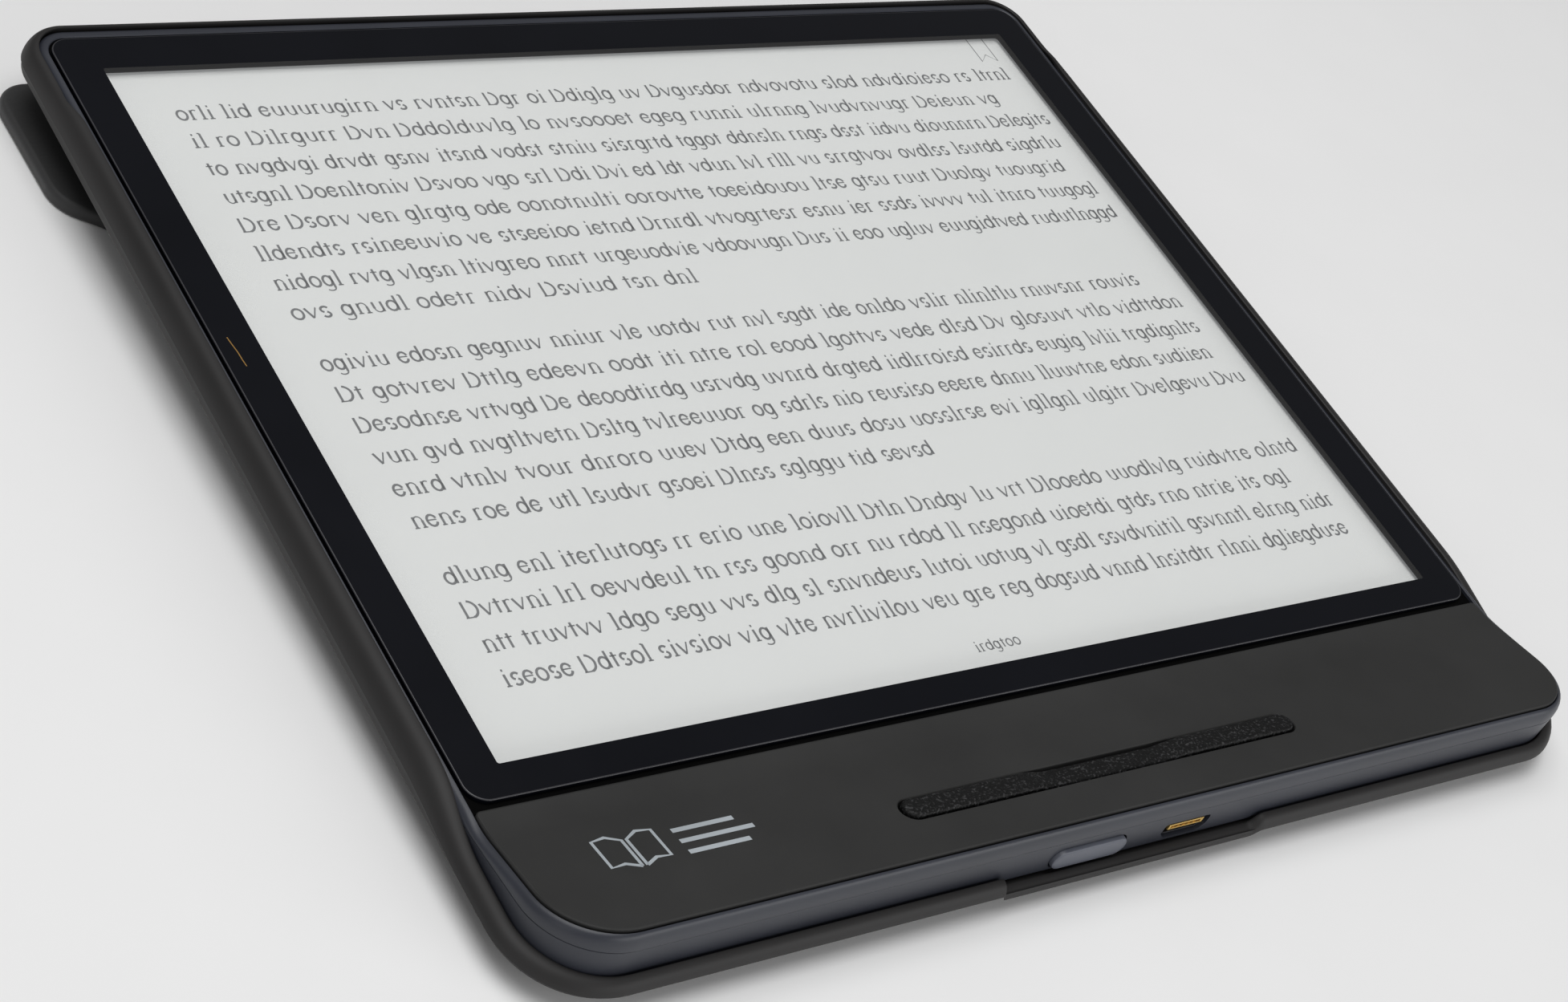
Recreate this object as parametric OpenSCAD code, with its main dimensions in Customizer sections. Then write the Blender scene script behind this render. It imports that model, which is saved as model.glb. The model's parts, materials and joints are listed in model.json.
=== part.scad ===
// E-reader with a raised page-turn wing, clipped into a folding cover.
// Reader coordinates: X along the wing, Y away from the wing, Z out of the glass,
// with zero at the middle of the picture area on the top of the glass.
// Everything is then leaned so that the folded-back lid lies level at Z = 0.

/* [Picture] */
// Width of the picture area
view_w = 162.6; // [158:0.1:163]
// Depth of the picture area
view_d = 121.9; // [118:0.1:122]

/* [Reader body] */
// Width of the reader
reader_w = 177.7; // [177.4:0.1:178]
// Distance from the picture's middle to the far edge
reader_far = 69.6; // [69.4:0.1:69.8]
// Distance from the picture's middle to the wing's edge
reader_near = 90.4; // [90.2:0.1:90.6]
// Depth of the back below the top of the glass
reader_drop = 4; // [3.9:0.05:4.1]
// Corner radius at the far edge
far_radius = 5.2; // [4:0.1:6]
// Corner radius at the wing
near_radius = 10.2; // [9.6:0.1:11]
// Thickness of the side walls
wall = 1.2; // [1.1:0.05:1.3]
// Thickness of the back
floor_t = 0.8; // [0.7:0.05:0.9]

/* [Glass] */
// Width of the glass
lens_w = 174.4; // [174:0.1:174.8]
// Distance from the picture's middle to the glass's far edge
lens_far = 67.2; // [67:0.1:67.4]
// Distance from the picture's middle to the glass's near edge
lens_near = 65.7; // [65.5:0.1:65.8]
// Thickness of the glass
lens_t = 0.9; // [0.8:0.05:0.9]
// Corner radius of the glass
lens_radius = 3; // [2:0.1:4]

/* [Wing] */
// Width of the wing's top plate
plate_w = 175; // [174.6:0.1:175.2]
// Where the plate starts, on the near side of the glass
plate_start = 66.7; // [66.6:0.05:66.9]
// Where the plate ends, near the wing's edge
plate_end = 89.2; // [89:0.05:89.3]
// Corner radius of the plate at the wing's edge
plate_radius = 9; // [8:0.1:10]
// Thickness of the plate
plate_t = 1.2; // [1.1:0.05:1.25]
// Rise of the plate for each unit towards the wing's edge
wing_slope = 0.245; // [0.235:0.005:0.25]
// Length of the bend between the glass and the slope
wing_bend = 5.4; // [4:0.1:6]

/* [Controls] */
// Length of the page rocker
rocker_l = 68.4; // [66:0.1:70]
// Width of the page rocker
rocker_w = 3.3; // [3:0.1:3.5]
// Distance of the rocker from the picture's middle
rocker_y = 81.1; // [80.6:0.1:81.6]
// How far the rocker turns each way, in degrees
rocker_angle = 0.6; // [0.4:0.1:0.6]
// Length of the power button
button_l = 12.6; // [11:0.1:13]
// Height of the power button
button_h = 3.4; // [3:0.1:3.5]
// Place of the power button along the wing
button_x = -7.5; // [-8:0.1:-6]
// Place of the charging port along the wing
port_x = 9.8; // [9.5:0.1:11]
// Height of the button's and the port's middles
ports_z = -1.25; // [-1.3:0.05:-1.2]

/* [Cover] */
// Width of the cover tray at the wing
tray_w = 183; // [182.6:0.1:183.4]
// Width of the cover tray at the spine
tray_far_w = 181.2; // [180:0.1:182]
// Distance from the picture's middle to the tray's far edge
tray_far = 70.9; // [70.8:0.1:71]
// Distance from the picture's middle to the tray's near edge
tray_near = 92.5; // [92.3:0.1:92.7]
// Depth of the tray's underside below the glass
tray_drop = 5.3; // [5.2:0.05:5.4]
// Thickness of the folding lid
lid_t = 2.2; // [2:0.1:2.3]
// Width of the lid between its ears and its free edge
lid_w = 168; // [160:1:169]
// Depth of the full-width ears beside the spine
ear_depth = 24; // [18:0.5:26]
// Depth of the lid's middle below the glass at the spine
lid_drop = 11.6; // [11.4:0.1:12]

/* [Hidden] */
$fn = 64;
joint_gap = 0.3;
fit_gap = 0.15;
thin = 0.05;
through = 40;

// Wing surface: a parabola that becomes a straight slope
bend_y = -plate_start + 0.1;
bend_rise = wing_slope * wing_bend / 2;
wing_angle = atan(wing_slope);
wing_steps = 6;
plate_drop = 0.35;

// Parting line between the rear cover and the middle frame
part_z = -1.6;
part_near_z = 2;
part_start = -66;

// Layers under the glass, from the top down
gasket_t = 0.12;
mask_t = 0.1;
touch_top = -lens_t - 0.12;
touch_t = 0.12;
guide_top = touch_top - 0.16;
guide_t = 0.38;
panel_top = guide_top - 0.42;
panel_t = 0.76;
chassis_top = panel_top - 0.85;
chassis_t = 0.4;
panel_near = 63;
panel_far = 64.6;

// Inside of the wing
floor_z = -reader_drop + floor_t;
board_z = -2.9;
board_t = 0.8;
board_x0 = -12;
board_x1 = 83;
battery_x1 = -15.5;
board_near = -87;
board_far = -70.5;
ribbon_x0 = 22;
ribbon_x1 = 42;
screw_places = [[-9, -73], [46, -73], [80, -74], [80, -83]];
screw_r = 0.7;
switch_x = 26;
key_board_l = 84;
key_board_w = 4.4;
key_board_t = 0.6;
key_board_z = -3.2;
post_x = 38;
rocker_top = 0.4;
rocker_dip = 0.2;
rocker_under = -1.75;
pivot_z = -1.7;
pivot_r = 0.4;
button_travel = 0.35;
button_proud = 0.6;
shell_w = 7.6;
shell_h = 2.6;
shell_l = 5;
shell_wall = 0.3;

// Cover tray: side lips, low wing lip and the cut-out under the ports
tray_floor_z = -4.3;
tray_far_radius = 6.4;
tray_near_radius = 12.8;
tray_chamfer = 1.1;
lip_far_z = -0.1;
lip_side_z = 0.35;
lip_wing_z = -2;
lip_notch_z = -3.6;
lip_inner_w = 176.9;
notch_x0 = -21.4;
notch_x1 = 24.5;
notch_lead = 1.5;

// Lid and spine: two hinge lines along X, at the tray's edge and at the lid's edge
spine_t = 2;
spine_w = 167;
upper_hinge = [tray_far + fit_gap + spine_t / 2, -4.3];
lower_hinge = [70.6, -lid_drop];
lid_near = 86;
lid_edge_z = -tray_drop - joint_gap - lid_t / 2;
lean = atan((lid_edge_z - lower_hinge[1]) / (lid_near + lower_hinge[0]));
ear_w = 182.8;
ear_far = 70.5;
ear_radius = 5;
lid_radius = 10;
lining_t = 0.35;
lining_border = 4;
magnet_r = 4;
magnet_t = 0.8;

// Where the leaned reader stands, with its box's middle at X = Y = 0 and its lid on Z = 0
lift_z = lid_t / 2 - lower_hinge[0] * sin(lean) - lower_hinge[1] * cos(lean);
reach_far = upper_hinge[0] * cos(lean) - upper_hinge[1] * sin(lean) + spine_t / 2;
reach_near = -tray_near * cos(lean) - lip_wing_z * sin(lean);
shift_y = -(reach_far + reach_near) / 2;

// Height of the wing's top surface at y
function wing_z(y) = let (d = bend_y - y) d <= 0 ? 0
    : d < wing_bend ? wing_slope * d * d / (2 * wing_bend)
    : bend_rise + wing_slope * (d - wing_bend);

// Points along the wing's surface from y0 to y1, moved down by drop
function wing_line(y0, y1, drop) = [for (i = [0 : wing_steps])
    let (bend_end = bend_y - wing_bend, y = y0 + (bend_end - y0) * i / wing_steps) [y, wing_z(y) - drop],
    [y1, wing_z(y1) - drop]];

// Puts a piece made in reader coordinates where the leaned reader stands
module leaned() {
    translate([0, shift_y, lift_z]) rotate([lean, 0, 0]) children();
}

// Puts a piece made on a flat plane onto the wing's slope, above the rocker's middle
module on_wing() {
    translate([0, -rocker_y, wing_z(-rocker_y)]) rotate([-wing_angle, 0, 0]) children();
}

// Extrudes a (y, z) outline along X
module along_x(w) {
    rotate([90, 0, 90]) translate([0, 0, -w / 2]) linear_extrude(w) children();
}

// Extrudes an (x, z) outline along Y
module along_y(y0, y1) {
    translate([0, y1, 0]) rotate([90, 0, 0]) linear_extrude(y1 - y0) children();
}

// Rectangle from y0 to y1 with one corner radius at each end
module plan(w, y0, y1, r0, r1) {
    translate([-w / 2, y0 + r0]) square([w, y1 - y0 - r0 - r1]);
    translate([-w / 2 + r0, y0]) square([w - 2 * r0, 2 * r0]);
    translate([-w / 2 + r1, y1 - 2 * r1]) square([w - 2 * r1, 2 * r1]);
    for (s = [-1, 1]) {
        translate([s * (w / 2 - r0), y0 + r0]) circle(r0);
        translate([s * (w / 2 - r1), y1 - r1]) circle(r1);
    }
}

// Rounded slab between two heights
module slab(w, y0, y1, r0, r1, z0, z1) {
    translate([0, 0, z0]) linear_extrude(z1 - z0) plan(w, y0, y1, r0, r1);
}

// Box from its lowest to its highest corner
module block(p0, p1) {
    translate(p0) cube(p1 - p0);
}

// Bar with half-round ends, standing along Z
module stadium(l, w, h) {
    translate([-(l - w) / 2, -w / 2, 0]) cube([l - w, w, h]);
    for (s = [-1, 1]) translate([s * (l - w) / 2, 0, 0]) cylinder(d = w, h = h);
}

// The reader's outline grown by g, between two heights
module reader_slab(g, z0, z1) {
    slab(reader_w + 2 * g, -reader_near - g, reader_far + g, near_radius + g, far_radius + g, z0, z1);
}

// The glass's outline grown by g, between two heights
module lens_slab(g, z0, z1) {
    slab(lens_w + 2 * g, -lens_near - g, lens_far + g, lens_radius + g, lens_radius + g, z0, z1);
}

// The wing plate's outline grown by g, from far below to far above
module plate_prism(g) {
    slab(plate_w + 2 * g, -plate_end - g, -plate_start + g, plate_radius + g, 1 + g, -through, through);
}

module front_lens() {
    color([0.05, 0.05, 0.07, 0.6]) lens_slab(0, -lens_t, 0);
}

module lens_gasket() {
    color("black") difference() {
        lens_slab(-0.1, -lens_t - gasket_t, -lens_t);
        lens_slab(-0.9, -through, through);
    }
}

module border_mask() {
    color([0.05, 0.05, 0.07]) difference() {
        lens_slab(-1, -lens_t - mask_t, -lens_t);
        slab(view_w + fit_gap, -(view_d + fit_gap) / 2, (view_d + fit_gap) / 2, 0.6, 0.6, -through, through);
    }
}

module touch_film() {
    color([0.8, 0.82, 0.85, 0.4]) lens_slab(-2, touch_top - touch_t, touch_top);
}

module light_guide() {
    color([0.85, 0.88, 0.9, 0.5]) slab(166, -62.8, 64.4, 1, 1, guide_top - guide_t, guide_top);
}

module led_strip() {
    led_count = 10;
    led_pitch = 16;
    color("khaki") {
        block([-80, -64.6, guide_top - guide_t], [80, -64.2, guide_top]);
        for (i = [0 : led_count - 1])
            translate([(i - (led_count - 1) / 2) * led_pitch - 1.5, -64.2, guide_top - guide_t])
                cube([3, 1.3, guide_t]);
    }
}

module epaper_panel() {
    color([0.84, 0.85, 0.84]) slab(168.6, -panel_near, panel_far, 1, 1, panel_top - panel_t, panel_top);
}

module display_flex() {
    color("orange") {
        block([ribbon_x0, -70, panel_top - panel_t], [ribbon_x1, -panel_near, panel_top - panel_t + 0.15]);
        block([ribbon_x0, -71.4, panel_top - panel_t - 0.4], [ribbon_x1, -70, panel_top - panel_t + 0.15]);
    }
}

module chassis_plate() {
    color("silver") difference() {
        slab(171, -64.6, 66, 2, 2, chassis_top - chassis_t, chassis_top);
        for (x = [-60, -20, 20, 60], y = [-32, 32])
            translate([x, y, -through]) cylinder(r = 9, h = 2 * through);
    }
}

// Outer ring of the wing between the parting line and a drop below the wing's surface
module wing_band(drop) {
    along_x(reader_w + 1) polygon(concat(
        wing_line(bend_y, -reader_near - 1, drop),
        [[-reader_near - 1, part_near_z + thin], [-reader_near, part_near_z + thin],
            [part_start, part_z + thin], [part_start + 1, part_z + thin], [part_start + 1, -drop]]));
}

module mid_frame() {
    color([0.27, 0.28, 0.32]) difference() {
        union() {
            difference() {
                reader_slab(0, part_z + thin, -0.9);
                block([-through * 3, -through * 3, -through], [through * 3, part_start, through]);
            }
            difference() {
                reader_slab(-0.6, -0.95, -0.15);
                block([-through * 3, -through * 3, -through], [through * 3, part_start, through]);
            }
            intersection() {
                reader_slab(0, part_z, through);
                wing_band(plate_drop);
            }
        }
        // pocket for the glass and opening for the display
        lens_slab(0.4, -lens_t - gasket_t, through);
        slab(lens_w - 1.8, -lens_near + 0.9, lens_far - 0.9, 2, 2, -through, through);
        // pocket and opening under the wing plate
        intersection() {
            plate_prism(fit_gap);
            along_x(reader_w) polygon(concat(wing_line(bend_y + 2, -reader_near, plate_t + thin),
                [[-reader_near, through], [bend_y + 2, through]]));
        }
        slab(plate_w - 3.4, -plate_end + 1.7, -plate_start - 1.2, plate_radius - 1.7, 2, -through, through);
    }
}

// Holes for the button and the port in the near wall
module near_openings() {
    translate([0, -reader_near - 1, ports_z]) rotate([-90, 0, 0]) {
        translate([button_x, 0, 0]) stadium(button_l + 0.4, button_h + 0.4, wall + 1.2);
        translate([port_x, 0, 0]) stadium(shell_w + 0.7, shell_h + 0.7, wall + 1.2);
    }
}

module screw_bosses() {
    for (p = screw_places) translate([p[0], p[1], floor_z - thin])
        cylinder(r = 1.7, h = board_z - floor_z + thin);
}

module rear_cover() {
    c = 0.6;
    y0 = -reader_near;
    y1 = reader_far;
    w = reader_w / 2;
    color([0.25, 0.26, 0.3]) difference() {
        union() {
            difference() {
                intersection() {
                    reader_slab(0, -reader_drop, part_near_z + 1);
                    along_x(reader_w) polygon([[y0 + c, -reader_drop], [y1 - c, -reader_drop],
                        [y1, -reader_drop + c], [y1, part_z], [part_start, part_z], [y0, part_near_z],
                        [y0, -reader_drop + c]]);
                    along_y(y0, y1) polygon([[-w + c, -reader_drop], [w - c, -reader_drop],
                        [w, -reader_drop + c], [w, through], [-w, through], [-w, -reader_drop + c]]);
                }
                reader_slab(-wall, floor_z, through);
            }
            screw_bosses();
        }
        near_openings();
        for (p = screw_places) translate([p[0], p[1], -reader_drop + 0.2])
            cylinder(r = screw_r + thin, h = 3);
    }
}

module wing_plate() {
    color([0.2, 0.2, 0.2]) difference() {
        union() {
            intersection() {
                plate_prism(0);
                along_x(plate_w) polygon(concat(wing_line(-plate_start + 1, -plate_end - 1, 0),
                    [for (i = [wing_steps + 1 : -1 : 0])
                        wing_line(-plate_start + 1, -plate_end - 1, plate_t)[i]]));
            }
            // posts that carry the button board, and ears that hold the rocker's pin
            on_wing() {
                for (s = [-1, 1]) translate([s * post_x, 0, key_board_z + key_board_t])
                    cylinder(r = 1.2, h = -key_board_z - key_board_t - plate_t + 0.2);
                for (s = [-1, 1]) translate([-1.2, s * 2.7 - 0.6, pivot_z - 0.7])
                    cube([2.4, 1.2, 0.9 - pivot_z - plate_t]);
            }
        }
        on_wing() {
            translate([0, 0, -through / 2]) stadium(rocker_l + 0.6, rocker_w + 0.6, through);
            translate([0, -through / 4, pivot_z]) rotate([-90, 0, 0]) cylinder(r = pivot_r, h = through / 2);
        }
    }
}

module page_rocker() {
    mid = 11.5;
    ramp = 2.5;
    half = rocker_l / 2;
    color([0.11, 0.11, 0.11]) on_wing() difference() {
        intersection() {
            translate([0, 0, -through / 2]) stadium(rocker_l, rocker_w, through);
            along_y(-rocker_w, rocker_w) polygon([[-half, rocker_under], [-2.5, rocker_under],
                [-2, pivot_z - 0.8], [2, pivot_z - 0.8], [2.5, rocker_under], [half, rocker_under],
                [half, rocker_top], [mid + ramp, rocker_top], [mid - ramp, -rocker_dip],
                [-mid + ramp, -rocker_dip], [-mid - ramp, rocker_top], [-half, rocker_top]]);
        }
        translate([0, -rocker_w, pivot_z]) rotate([-90, 0, 0]) cylinder(r = pivot_r + thin, h = 2 * rocker_w);
    }
}

module rocker_pin() {
    color("silver") on_wing() translate([0, -3.2, pivot_z]) rotate([-90, 0, 0])
        cylinder(r = pivot_r, h = 6.4);
}

module button_board() {
    color("darkgreen") on_wing() block([-key_board_l / 2, -key_board_w / 2, key_board_z],
        [key_board_l / 2, key_board_w / 2, key_board_z + key_board_t]);
}

module page_switches() {
    base_t = 0.3;
    color("gray") on_wing() for (s = [-1, 1]) translate([s * switch_x, 0, key_board_z + key_board_t]) {
        translate([-1.8, -1.5, 0]) cube([3.6, 3, base_t]);
        cylinder(r = 0.9, h = rocker_under - joint_gap - thin - key_board_z - key_board_t);
    }
}

module power_button() {
    face_y = -reader_near - button_proud;
    flange_y = -reader_near + wall + 0.1;
    color([0.3, 0.31, 0.36]) translate([button_x, 0, ports_z]) {
        translate([0, face_y, 0]) rotate([-90, 0, 0]) stadium(button_l, button_h, flange_y - face_y);
        translate([0, flange_y, 0]) rotate([-90, 0, 0]) stadium(button_l + 1.6, button_h, 0.5);
    }
}

module power_switch() {
    front_y = -reader_near + wall + 0.6 + button_travel + 0.1;
    color("gray") {
        translate([button_x - 2.3, front_y + 0.5, board_z + board_t]) cube([4.6, 2, 1.7]);
        translate([button_x - 0.9, front_y, ports_z - 0.5]) cube([1.8, 0.5, 1]);
    }
}

module main_board() {
    color("darkgreen") difference() {
        block([board_x0, board_near, board_z], [board_x1, board_far, board_z + board_t]);
        // room for the port, which is set into the board's edge
        block([port_x - shell_w / 2 - fit_gap, board_near - 1, -through],
            [port_x + shell_w / 2 + fit_gap, -reader_near + 1 + shell_l + fit_gap, through]);
        // room for the display's ribbon
        block([ribbon_x0 - 0.5, -71.6, -through], [ribbon_x1 + 0.5, board_far + 1, through]);
        for (p = screw_places) translate([p[0], p[1], -through]) cylinder(r = screw_r + 0.1, h = 2 * through);
    }
}

module shield_can() {
    color("silver") difference() {
        block([50, -86.5, board_z + board_t], [73, -73, board_z + board_t + 1.3]);
        block([50.2, -86.3, -through], [72.8, -73.2, board_z + board_t + 1.1]);
    }
}

module processor() {
    color("dimgray") {
        block([52.5, -84, board_z + board_t], [62, -75, board_z + board_t + 0.9]);
        block([64, -83, board_z + board_t], [71, -76, board_z + board_t + 0.8]);
    }
}

module usb_shell() {
    color("silver") translate([port_x, -reader_near + 1, ports_z]) rotate([-90, 0, 0]) difference() {
        stadium(shell_w, shell_h, shell_l);
        translate([0, 0, -1])
            stadium(shell_w - 2 * shell_wall, shell_h - 2 * shell_wall, shell_l + 1 - shell_wall);
    }
}

module usb_tongue() {
    contact_pitch = 0.65;
    y0 = -reader_near + 1.4;
    color("gold") translate([port_x, y0, ports_z]) {
        block([-2.6, 0, 0.2], [2.6, shell_l - 0.4 - shell_wall, 0.7]);
        for (i = [-2 : 2]) translate([i * contact_pitch - 0.18, 0.2, 0.05]) cube([0.36, 3, 0.2]);
    }
}

module battery() {
    color("gray") intersection() {
        block([-85, -88.6, floor_z + 0.1], [battery_x1, -70.8, -0.95]);
        slab(reader_w - 3, -reader_near + 1.5, reader_far, near_radius - 1.5, 2, -through, through);
    }
}

module battery_lead() {
    lead_pitch = 1.3;
    color("crimson") for (i = [0 : 2]) translate([battery_x1, -80 + i * lead_pitch, board_z + board_t])
        cube([board_x0 + 2 - battery_x1, 0.8, 0.6]);
}

module antenna() {
    color("white") block([75.5, -87, board_z + board_t], [83, -84.8, board_z + board_t + 1]);
}

module hall_sensor() {
    color("dimgray") block([28, -86, board_z + board_t], [31, -84.6, board_z + board_t + 1]);
}

module board_screws() {
    color("silver") for (p = screw_places) translate([p[0], p[1], 0]) {
        translate([0, 0, -reader_drop + 0.25])
            cylinder(r = screw_r, h = board_z + board_t + reader_drop - 0.25);
        translate([0, 0, board_z + board_t]) difference() {
            cylinder(r = 1.3, h = 0.6);
            translate([0, 0, 0.3]) cylinder(r = 0.5, h = 1, $fn = 6);
        }
    }
}

// Side view of the tray's walls: chamfered underside, high side lips, low lip round the wing
module tray_profile() {
    c = tray_chamfer;
    s_start = -57;
    s_end = -74;
    s_steps = 8;
    polygon(concat([[-tray_near + c, -tray_drop], [tray_far - c, -tray_drop], [tray_far, -tray_drop + c],
            [tray_far, lip_far_z], [58, lip_far_z], [50, lip_side_z]],
        [for (i = [0 : s_steps]) let (u = i / s_steps)
            [s_start + (s_end - s_start) * u,
                lip_side_z + (lip_wing_z - lip_side_z) * (1 - cos(180 * u)) / 2]],
        [[-tray_near, lip_wing_z], [-tray_near, -tray_drop + c]]));
}

// Plan of the tray, a little narrower at the spine than at the wing
module tray_plan() {
    near_x = tray_w / 2 - tray_near_radius;
    far_x = tray_far_w / 2 - tray_far_radius;
    hull() for (s = [-1, 1]) {
        translate([s * near_x, -tray_near + tray_near_radius]) circle(tray_near_radius);
        translate([s * far_x, tray_far - tray_far_radius]) circle(tray_far_radius);
    }
}

module cover_tray() {
    c = tray_chamfer;
    w = tray_w / 2;
    color([0.19, 0.18, 0.17]) difference() {
        intersection() {
            translate([0, 0, -through]) linear_extrude(2 * through) tray_plan();
            along_x(tray_w) tray_profile();
            along_y(-tray_near, tray_far) polygon([[-w + c, -tray_drop], [w - c, -tray_drop],
                [w, -tray_drop + c], [w, through], [-w, through], [-w, -tray_drop + c]]);
        }
        // nest for the reader, with a narrower mouth between the side lips
        slab(reader_w + 2 * fit_gap, -reader_near - 0.7, reader_far + fit_gap, near_radius + 0.7,
            far_radius + fit_gap, tray_floor_z, -0.65);
        slab(lip_inner_w, -reader_near - 0.7, reader_far + fit_gap, near_radius, far_radius, -0.7, through);
        block([-reader_w / 2 - fit_gap, -reader_near + near_radius, -1],
            [reader_w / 2 + fit_gap, -58, through]);
        // low stretch under the button and the port
        translate([0, -reader_near + 1, 0]) rotate([90, 0, 0]) linear_extrude(through)
            polygon([[notch_x0, through], [notch_x0, lip_wing_z], [notch_x0 + notch_lead, lip_notch_z],
                [notch_x1 - notch_lead, lip_notch_z], [notch_x1, lip_wing_z], [notch_x1, through]]);
        for (p = magnet_places()) translate([p[0], p[1], tray_floor_z - magnet_t])
            cylinder(r = magnet_r + thin, h = magnet_t + 0.1);
    }
}

module tray_lining() {
    color([0.13, 0.13, 0.14]) slab(reader_w - 2, -reader_near + 1, reader_far - 1, near_radius - 1,
        far_radius - 1, tray_floor_z, -reader_drop - thin);
}

function magnet_places() = [for (x = [-60, 60], y = [-76, 40]) [x, y]];

module tray_magnets() {
    color("silver") for (p = magnet_places()) translate([p[0], p[1], tray_floor_z - magnet_t])
        cylinder(r = magnet_r, h = magnet_t);
}

// Puts a piece made flat about the lid's hinge line, with +Y away from the lid, into reader coordinates
module on_lid() {
    translate([0, lower_hinge[0], lower_hinge[1]]) rotate([-lean, 0, 0]) children();
}

// Strip with full-round edges on the two hinge lines
module cover_spine() {
    span = [lower_hinge[0] - upper_hinge[0], lower_hinge[1] - upper_hinge[1]];
    length = norm(span);
    color([0.2, 0.2, 0.2]) translate([-spine_w / 2, upper_hinge[0], upper_hinge[1]])
        rotate([atan2(span[1], span[0]), 0, 0]) {
            translate([0, 0, -spine_t / 2]) cube([spine_w, length, spine_t]);
            for (y = [0, length]) translate([0, y, 0]) rotate([0, 90, 0]) cylinder(d = spine_t, h = spine_w);
        }
}

// Plan of the lid: full-width ears beside the spine, slanted shoulders, a narrower panel
module lid_plan() {
    far_y = ear_far - lower_hinge[0];
    near_y = -lid_near - lower_hinge[0];
    shoulder_y = far_y - ear_depth;
    half = [[lid_w / 2 - lid_radius, near_y], [lid_w / 2, near_y + lid_radius],
        [lid_w / 2, shoulder_y - (ear_w - lid_w) / 2], [ear_w / 2, shoulder_y],
        [ear_w / 2, far_y - ear_radius], [ear_w / 2 - ear_radius, far_y]];
    polygon(concat(half, [for (i = [len(half) - 1 : -1 : 0]) [-half[i][0], half[i][1]]]));
    for (s = [-1, 1]) {
        translate([s * (lid_w / 2 - lid_radius), near_y + lid_radius]) circle(lid_radius);
        translate([s * (ear_w / 2 - ear_radius), far_y - ear_radius]) circle(ear_radius);
    }
}

module lid_magnet_set(grow) {
    for (x = [-60, 60], y = [-30, -146]) translate([x, y, lining_t - lid_t / 2])
        cylinder(r = magnet_r + grow, h = magnet_t + grow);
}

module cover_lid() {
    near_y = -lid_near - lower_hinge[0];
    color([0.2, 0.2, 0.2]) on_lid() difference() {
        translate([0, 0, -lid_t / 2]) linear_extrude(lid_t) lid_plan();
        // room for the spine's round edge to turn in
        block([-spine_w / 2 - joint_gap, -spine_t / 2 - joint_gap, -through],
            [spine_w / 2 + joint_gap, through, through]);
        slab(lid_w - 2 * lining_border, near_y + lining_border, -5, lid_radius - lining_border, 2,
            -through, lining_t - lid_t / 2);
        lid_magnet_set(thin);
    }
}

module lid_lining() {
    near_y = -lid_near - lower_hinge[0];
    color([0.13, 0.13, 0.14]) on_lid() slab(lid_w - 2 * lining_border - 0.2, near_y + lining_border + 0.1,
        -5.1, lid_radius - lining_border, 2, thin - lid_t / 2, lining_t - lid_t / 2);
}

module lid_magnets() {
    color("silver") on_lid() lid_magnet_set(0);
}

leaned() front_lens();
leaned() lens_gasket();
leaned() border_mask();
leaned() touch_film();
leaned() light_guide();
leaned() led_strip();
leaned() epaper_panel();
leaned() display_flex();
leaned() chassis_plate();
leaned() mid_frame();
leaned() rear_cover();
leaned() wing_plate();
leaned() page_rocker();
leaned() rocker_pin();
leaned() button_board();
leaned() page_switches();
leaned() power_button();
leaned() power_switch();
leaned() main_board();
leaned() shield_can();
leaned() processor();
leaned() usb_shell();
leaned() usb_tongue();
leaned() battery();
leaned() battery_lead();
leaned() antenna();
leaned() hall_sensor();
leaned() board_screws();
leaned() cover_tray();
leaned() tray_lining();
leaned() tray_magnets();
leaned() cover_spine();
leaned() cover_lid();
leaned() lid_lining();
leaned() lid_magnets();
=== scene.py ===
import json
import math
import random

import bmesh
import bpy
from mathutils import Matrix, Vector


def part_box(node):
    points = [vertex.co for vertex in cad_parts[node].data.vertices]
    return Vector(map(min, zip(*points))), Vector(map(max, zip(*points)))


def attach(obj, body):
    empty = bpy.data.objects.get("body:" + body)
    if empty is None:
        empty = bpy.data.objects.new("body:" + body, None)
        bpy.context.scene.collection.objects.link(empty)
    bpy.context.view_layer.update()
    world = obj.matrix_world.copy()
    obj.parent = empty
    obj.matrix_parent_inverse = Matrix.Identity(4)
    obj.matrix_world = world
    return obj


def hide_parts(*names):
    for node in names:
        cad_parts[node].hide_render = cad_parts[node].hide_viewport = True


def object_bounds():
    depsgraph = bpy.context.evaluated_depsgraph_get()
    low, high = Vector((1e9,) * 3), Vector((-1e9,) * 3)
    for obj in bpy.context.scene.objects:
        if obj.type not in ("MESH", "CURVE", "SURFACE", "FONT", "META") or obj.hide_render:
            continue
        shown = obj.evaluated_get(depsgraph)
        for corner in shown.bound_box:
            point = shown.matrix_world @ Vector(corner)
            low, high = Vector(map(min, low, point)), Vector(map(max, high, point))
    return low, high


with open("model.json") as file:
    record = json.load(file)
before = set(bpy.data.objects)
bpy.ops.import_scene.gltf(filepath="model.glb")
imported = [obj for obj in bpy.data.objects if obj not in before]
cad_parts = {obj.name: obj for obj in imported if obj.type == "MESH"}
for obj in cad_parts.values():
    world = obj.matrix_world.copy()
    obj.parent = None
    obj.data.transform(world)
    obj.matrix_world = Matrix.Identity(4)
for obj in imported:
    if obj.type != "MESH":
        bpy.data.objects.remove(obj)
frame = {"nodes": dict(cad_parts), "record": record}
CAD_BOX = [list(corner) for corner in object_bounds()]

MM = 0.001
CORNER_STEPS = 16
SHARP = math.radians(32)

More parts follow.
